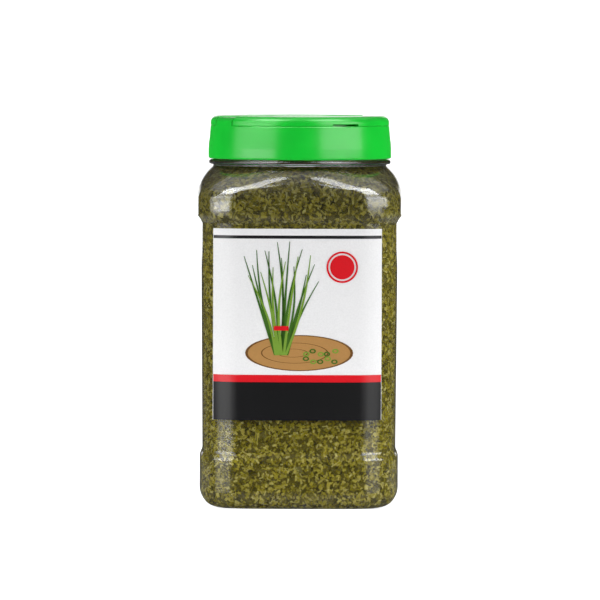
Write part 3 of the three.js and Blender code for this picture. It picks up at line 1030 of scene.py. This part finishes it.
def flat_disc(name, x, z, radius_x, radius_z, hole=0.0):
    """An upright flat disc in front of the jar, or a ring if it has a hole."""
    item = begin(
        name,
        bpy.ops.mesh.primitive_circle_add,
        vertices=40,
        radius=1,
        fill_type="NGON",
        location=(x, FLAT_Y, z),
        rotation=UPRIGHT,
    )
    item.scale = (radius_x, radius_z, 1)
    edit_all(item)
    bpy.ops.mesh.select_mode(type="FACE")
    if hole:
        bpy.ops.mesh.inset(thickness=1 - hole)
        bpy.ops.mesh.delete(type="FACE")
    else:
        for _ in range(5):
            bpy.ops.mesh.inset(thickness=0.17)
    pick(item)
    bpy.ops.object.transform_apply()
    return item


def drawn_stem(name, x, z0, z1, width, lean, sway):
    """An upright flat stem: tapered, leaning and slightly bowed."""
    item = flat_sheet(name, x - width / 2, x + width / 2, z0, z1, 1, 10)
    edit_all(item)
    shape = bmesh.from_edit_mesh(item.data)
    for point in shape.verts:
        share = (point.co.z - z0) / (z1 - z0)
        point.co.x = x + (point.co.x - x) * (1 - 0.75 * share**2)
        point.co.x += lean * share + sway * math.sin(math.pi * share)
    bmesh.update_edit_mesh(item.data)
    deselect()
    return item


def lay_on(item, ground, gap, sheet):
    """Presses a flat sheet back onto a surface and gives it its thickness outwards."""
    apply_modifier(
        item,
        "SHRINKWRAP",
        target=ground,
        wrap_method="PROJECT",
        use_project_y=True,
        use_positive_direction=True,
        use_negative_direction=False,
        offset=gap,
    )
    apply_modifier(item, "SOLIDIFY", thickness=sheet, offset=1)
    tidy_mesh(item, 40)


class CHIVEJAR_OT_label(bpy.types.Operator):
    """Wraps the paper label on the front and prints a plain design on it"""

    bl_idname = "chivejar.label"
    bl_label = "Label"

    def execute(self, context):
        label = context.scene.chive_jar.label
        ground = bpy.data.objects["jar_body"]
        x0, x1 = LABEL_LOW[0], LABEL_HIGH[0]
        z0, z1 = LABEL_LOW[2], LABEL_HIGH[2]
        paper = flat_sheet("label_paper", x0, x1, z0, z1, LABEL_COLUMNS, 12)
        lay_on(paper, ground, label.gap, label.sheet)
        sheet = printed("Coated label paper", label.paper, roughness=0.42, grain_mm=0.7)
        finish_piece(paper, sheet, "jar", "label_paper", "label")
        band_top = z0 + 17 * MM
        board_z = z0 + 30 * MM
        board = (0, board_z, 24 * MM, 8 * MM)
        disc_x, disc_z = 19 * MM, z1 - 17 * MM
        bunch_x = -8 * MM
        tie_z = board_z + 10 * MM
        inks = {
            "black": [
                flat_sheet("band", x0, x1, z0, band_top, LABEL_COLUMNS, 4),
                flat_sheet("line", x0, x1, z1 - 4.4 * MM, z1 - 3 * MM, LABEL_COLUMNS, 1),
            ],
            "tan": [flat_disc("board", *board)],
            "brown": [
                flat_disc("board_rim", *board, 0.95),
                flat_disc("board_grain", -2 * MM, board_z, 15 * MM, 4.6 * MM, 0.96),
                flat_disc("board_knot", -3 * MM, board_z, 7 * MM, 1.9 * MM, 0.92),
            ],
            "red": [
                flat_sheet("stripe", x0, x1, band_top, band_top + 3.2 * MM, LABEL_COLUMNS, 1),
                flat_disc("disc", disc_x, disc_z, 5.4 * MM, 5.4 * MM),
                flat_disc("disc_rim", disc_x, disc_z, 7 * MM, 7 * MM, 0.88),
                flat_sheet("tie", bunch_x - 3.3 * MM, bunch_x + 3.3 * MM, tie_z, tie_z + 2 * MM, 6, 1),
            ],
            "green": [],
            "lime": [],
        }
        for i in range(STEMS):
            spread = 2 * i / (STEMS - 1) - 1
            tall = 44 + 6 * math.cos(2.3 * i) - 7 * spread * spread
            stem = drawn_stem(
                f"stem_{i}",
                bunch_x + 2.6 * spread * MM,
                board_z - 1 * MM,
                board_z + tall * MM,
                width=1.15 * MM,
                lean=14 * spread * MM,
                sway=2.2 * math.sin(1.7 * i) * MM,
            )
            inks["lime" if i % 3 == 1 else "green"].append(stem)
        for i in range(RINGS):
            x = (3 + 3.2 * (i % 5) + 0.8 * math.sin(3.1 * i)) * MM
            z = board_z + (-3.4 + 3.4 * (i // 5) + 0.9 * math.cos(2.1 * i)) * MM
            ring = flat_disc(f"ring_{i}", x, z, 1.45 * MM, 1.05 * MM, 0.5)
            inks["lime" if i % 2 else "green"].append(ring)
        for layer, (ink, shapes) in enumerate(inks.items()):
            item = join(f"label_{ink}_ink", *shapes)
            height = 1 + 1.5 * layer
            if ink == "red":
                height += 4  # the tie lies over the stems
            lay_on(item, paper, height * label.ink, label.ink)
            film = printed(f"{ink.title()} offset ink", getattr(label, ink), roughness=0.3, grain_mm=0.9)
            finish_piece(item, film, "jar", "label_paper")
        return {"FINISHED"}


TURNED_STEPS = 144


def turned(name, profile):
    """Draws a closed profile point by point as (radius, height) and spins it round the axis."""
    item = begin(name, bpy.ops.mesh.primitive_plane_add, size=MM)
    edit_all(item)
    bpy.ops.mesh.merge(type="CENTER")
    x, z = profile[0]
    bpy.ops.transform.translate(value=(x, 0, z))
    for radius, height in profile[1:]:
        bpy.ops.mesh.extrude_vertices_move(TRANSFORM_OT_translate={"value": (radius - x, 0, height - z)})
        x, z = radius, height
    bpy.ops.mesh.select_all(action="SELECT")
    if profile[0][0] > 0 or profile[-1][0] > 0:
        bpy.ops.mesh.edge_face_add()
        bpy.ops.mesh.delete(type="ONLY_FACE")
        bpy.ops.mesh.select_all(action="SELECT")
    bpy.ops.mesh.spin(steps=TURNED_STEPS, angle=2 * math.pi, center=(0, 0, 0), axis=(0, 0, 1))
    tidy_mesh(item)
    return item


def cutter(name, low, high):
    """A block between two corners, for cutting."""
    middle = [(a + b) / 2 for a, b in zip(low, high)]
    item = begin(name, bpy.ops.mesh.primitive_cube_add, size=1, location=middle)
    item.scale = [b - a for a, b in zip(low, high)]
    bpy.ops.object.transform_apply()
    return item


def bore(name, x, y, radius, sides):
    """A round bar through the deck, for cutting."""
    return begin(
        name,
        bpy.ops.mesh.primitive_cylinder_add,
        vertices=sides,
        radius=radius,
        depth=OPENING_DEPTH,
        location=(x, y, DECK_TOP),
    )


def combine(item, other, operation):
    """Joins, cuts or keeps the overlap of two solids, and deletes the second."""
    apply_modifier(item, "BOOLEAN", object=other, operation=operation, solver="EXACT")
    remove(other)


def soften(item, width):
    """Rounds the moulded edges."""
    sharp = math.radians(38)
    apply_modifier(item, "BEVEL", width=width, segments=3, limit_method="ANGLE", angle_limit=sharp)


def screw_round(item, turn):
    """Turns a finished piece to where the cap is screwed, and shades its flat faces flat."""
    pick(item)
    item.rotation_euler.z = turn
    bpy.ops.object.transform_apply()
    tidy_mesh(item, 30)
    apply_modifier(item, "WEIGHTED_NORMAL", keep_sharp=True)


LEDGE_Z = 170.45 * MM  # the flaps' lips close on this ledge
DECK_TOP = 171.0 * MM
DECK_FOOT = 169.5 * MM
DECK_RADIUS = 38.0 * MM
BAR_FOOT = 168.6 * MM
BAR_TOP = 174.2 * MM
BAR_ROUND = 2.6 * MM
PAD = (12 * MM, 6 * MM)  # half sizes of the raised pad on the bar
LIP_FOOT = 170.51 * MM
LIP_RADIUS = 38.4 * MM
FLAP_UNDERSIDE = 173.0 * MM
FLAP_ROUND = 3 * MM
NOTCH_FROM = 30 * MM
NOTCH_HEIGHT = 0.85 * MM
RECESS = (34 * MM, 38.2 * MM)  # from and to the axis
CUT_REACH = 50 * MM  # cutting blocks go past the cap on all sides
CUT_FOOT = 160 * MM
CUT_TOP = 180 * MM
OPENING_DEPTH = 6 * MM
SHAKER_SPOTS = ((-20, -14.5), (0, -14.5), (20, -14.5), (-10.5, -26), (10.5, -26))
# Heights in mm of the bends in the skirt's outside, and how far each is drawn in
SKIRT_BENDS = ((160.2, 0), (160.4, 0.07), (162.2, 0.14), (165.6, 0.58))


def swung(points):
    """(radius, height) points for a turned piece from (height, half width) points."""
    return [(half, z) for z, half in points]


class CHIVEJAR_OT_cap(bpy.types.Operator):
    """Models the cap: skirt, deck with openings and finger recesses, and the bar between the flaps"""

    bl_idname = "chivejar.cap"
    bl_label = "Cap"

    def execute(self, context):
        cap = context.scene.chive_jar.cap
        foot = CAP_LOW[2]
        top = CAP_HIGH[2]
        profile = [(0, DECK_TOP), (0, DECK_FOOT), (cap.bore - 0.9 * MM, DECK_FOOT)]
        profile += [(cap.bore, DECK_FOOT - 1.2 * MM), (cap.bore, foot + 0.5 * MM)]
        profile += [(cap.bore + 0.3 * MM, foot), (cap.skirt_foot - 0.8 * MM, foot)]
        rounded = arc(foot + 0.9 * MM, cap.skirt_foot - 0.8 * MM, 0.9 * MM, 0.8 * MM, -90, 0, 6)
        profile += swung(rounded[1:])
        profile += [(cap.skirt_foot - inset * MM, z * MM) for z, inset in SKIRT_BENDS]
        profile += [(cap.skirt_top, LEDGE_Z - 0.4 * MM), (cap.skirt_top - 0.3 * MM, LEDGE_Z)]
        profile += [(DECK_RADIUS, LEDGE_Z), (DECK_RADIUS, DECK_TOP)]
        shell = turned("cap_skirt_and_deck", profile)
        rim = cap.flap_radius
        crown = [(0, BAR_FOOT), (rim + 0.02 * MM, BAR_FOOT)]
        crown += swung(arc(BAR_TOP - BAR_ROUND, rim - BAR_ROUND, BAR_ROUND, BAR_ROUND, 0, 90, 10))
        crown += [(0, BAR_TOP)]
        bar = turned("bar", crown)
        block = cutter("bar_block", (-CUT_REACH, -cap.bar, CUT_FOOT), (CUT_REACH, cap.bar, CUT_TOP))
        combine(bar, block, "INTERSECT")
        pad = cutter("pad", (-PAD[0], -PAD[1], BAR_TOP - 1 * MM), (*PAD, top))
        combine(bar, pad, "UNION")
        combine(shell, bar, "UNION")
        for x, y in SHAKER_SPOTS:
            hole = bore("shaker_hole", x * MM, y * MM, cap.shaker_hole / 2, 48)
            combine(shell, hole, "DIFFERENCE")
        spoon = bore("spoon_opening", 0, 0, cap.spoon_radius, 128)
        chord = (-CUT_REACH, cap.spoon_chord, CUT_FOOT)
        combine(spoon, cutter("spoon_side", chord, (CUT_REACH, CUT_REACH, CUT_TOP)), "INTERSECT")
        combine(shell, spoon, "DIFFERENCE")
        half = cap.notch / 2
        for side in (-1, 1):
            near, far = sorted(side * y for y in RECESS)
            recess = cutter("finger_recess", (-half, near, LEDGE_Z), (half, far, CUT_TOP))
            combine(shell, recess, "DIFFERENCE")
        thread_foot = JAR_THREAD_Z - THREAD_PITCH / 2
        ridge = thread_ridge("cap_thread", cap.bore + 0.4 * MM, cap.bore - THREAD_DEPTH, thread_foot)
        soften(shell, 0.3 * MM)
        combine(shell, ridge, "UNION")
        screw_round(shell, cap.turn)
        finish_piece(shell, moulded_polypropylene(cap), "cap", "green_plastic", "cap_shell")
        return {"FINISHED"}


class CHIVEJAR_OT_flaps(bpy.types.Operator):
    """Models the two flaps, each with its lip and finger notch"""

    bl_idname = "chivejar.flaps"
    bl_label = "Flaps"

    def execute(self, context):
        cap = context.scene.chive_jar.cap
        top = CAP_HIGH[2]
        rim = cap.flap_radius
        plastic = bpy.data.materials["Moulded green polypropylene"]
        for name, side in (("shaker_flap", -1), ("spoon_flap", 1)):
            dish = [(0, FLAP_UNDERSIDE), (LIP_RADIUS, FLAP_UNDERSIDE), (LIP_RADIUS, LIP_FOOT)]
            dish += [(rim - 0.15 * MM, LIP_FOOT), (rim, LIP_FOOT + 0.15 * MM)]
            dish += swung(arc(top - FLAP_ROUND, rim - FLAP_ROUND, FLAP_ROUND, FLAP_ROUND, 0, 90, 12))
            dish += [(0, top)]
            flap = turned(f"{name}_moulding", dish)
            near, far = sorted((side * cap.flap_edge, side * CUT_REACH))
            kept = cutter("flap_side", (-CUT_REACH, near, CUT_FOOT), (CUT_REACH, far, CUT_TOP))
            combine(flap, kept, "INTERSECT")
            near, far = sorted((side * NOTCH_FROM, side * CUT_REACH))
            half = cap.notch / 2
            notch = cutter("notch", (-half, near, CUT_FOOT), (half, far, LIP_FOOT + NOTCH_HEIGHT))
            combine(flap, notch, "DIFFERENCE")
            soften(flap, 0.2 * MM)
            screw_round(flap, cap.turn)
            finish_piece(flap, plastic, name, "green_plastic", name)
        return {"FINISHED"}


class CHIVEJAR_OT_liner(bpy.types.Operator):
    """Models the liner ring under the cap's deck"""

    bl_idname = "chivejar.liner"
    bl_label = "Liner ring"

    def execute(self, context):
        outer = LINER_HIGH[0]
        inner = outer - 2.8 * MM
        low, high = LINER_LOW[2], LINER_HIGH[2]
        ring = turned("liner", [(inner, low), (outer, low), (outer, high), (inner, high)])
        apply_modifier(ring, "BEVEL", width=0.12 * MM, segments=2, limit_method="ANGLE")
        tidy_mesh(ring, 40)
        finish_piece(ring, foam_liner(), "liner", "liner_foam", "liner_ring")
        return {"FINISHED"}


OPERATORS = (
    CHIVEJAR_OT_stage,
    CHIVEJAR_OT_jar,
    CHIVEJAR_OT_chives,
    CHIVEJAR_OT_label,
    CHIVEJAR_OT_cap,
    CHIVEJAR_OT_flaps,
    CHIVEJAR_OT_liner,
)


class CHIVEJAR_PT_panel(bpy.types.Panel):
    """Lists the operators and settings in the sidebar"""

    bl_idname = "CHIVEJAR_PT_panel"
    bl_label = "Jar of dried chives"
    bl_space_type = "VIEW_3D"
    bl_region_type = "UI"
    bl_category = "Chive Jar"

    def draw(self, context):
        for operator in OPERATORS:
            self.layout.operator(operator.bl_idname)
        settings = context.scene.chive_jar
        for group in (settings.jar, settings.chives, settings.label, settings.cap, settings.stage):
            box = self.layout.box()
            for name in group.__annotations__:
                box.prop(group, name)


CLASSES = (
    JarSettings,
    ChiveSettings,
    LabelSettings,
    CapSettings,
    StageSettings,
    ChiveJar,
    *OPERATORS,
    CHIVEJAR_PT_panel,
)


def register():
    for item in CLASSES:
        bpy.utils.register_class(item)
    bpy.types.Scene.chive_jar = bpy.props.PointerProperty(type=ChiveJar)


def unregister():
    del bpy.types.Scene.chive_jar
    for item in reversed(CLASSES):
        bpy.utils.unregister_class(item)


def main():
    register()
    bpy.ops.chivejar.stage()
    bpy.ops.chivejar.jar()
    bpy.ops.chivejar.chives()
    bpy.ops.chivejar.label()
    bpy.ops.chivejar.cap()
    bpy.ops.chivejar.flaps()
    bpy.ops.chivejar.liner()
    deselect()


if __name__ == "__main__":
    main()
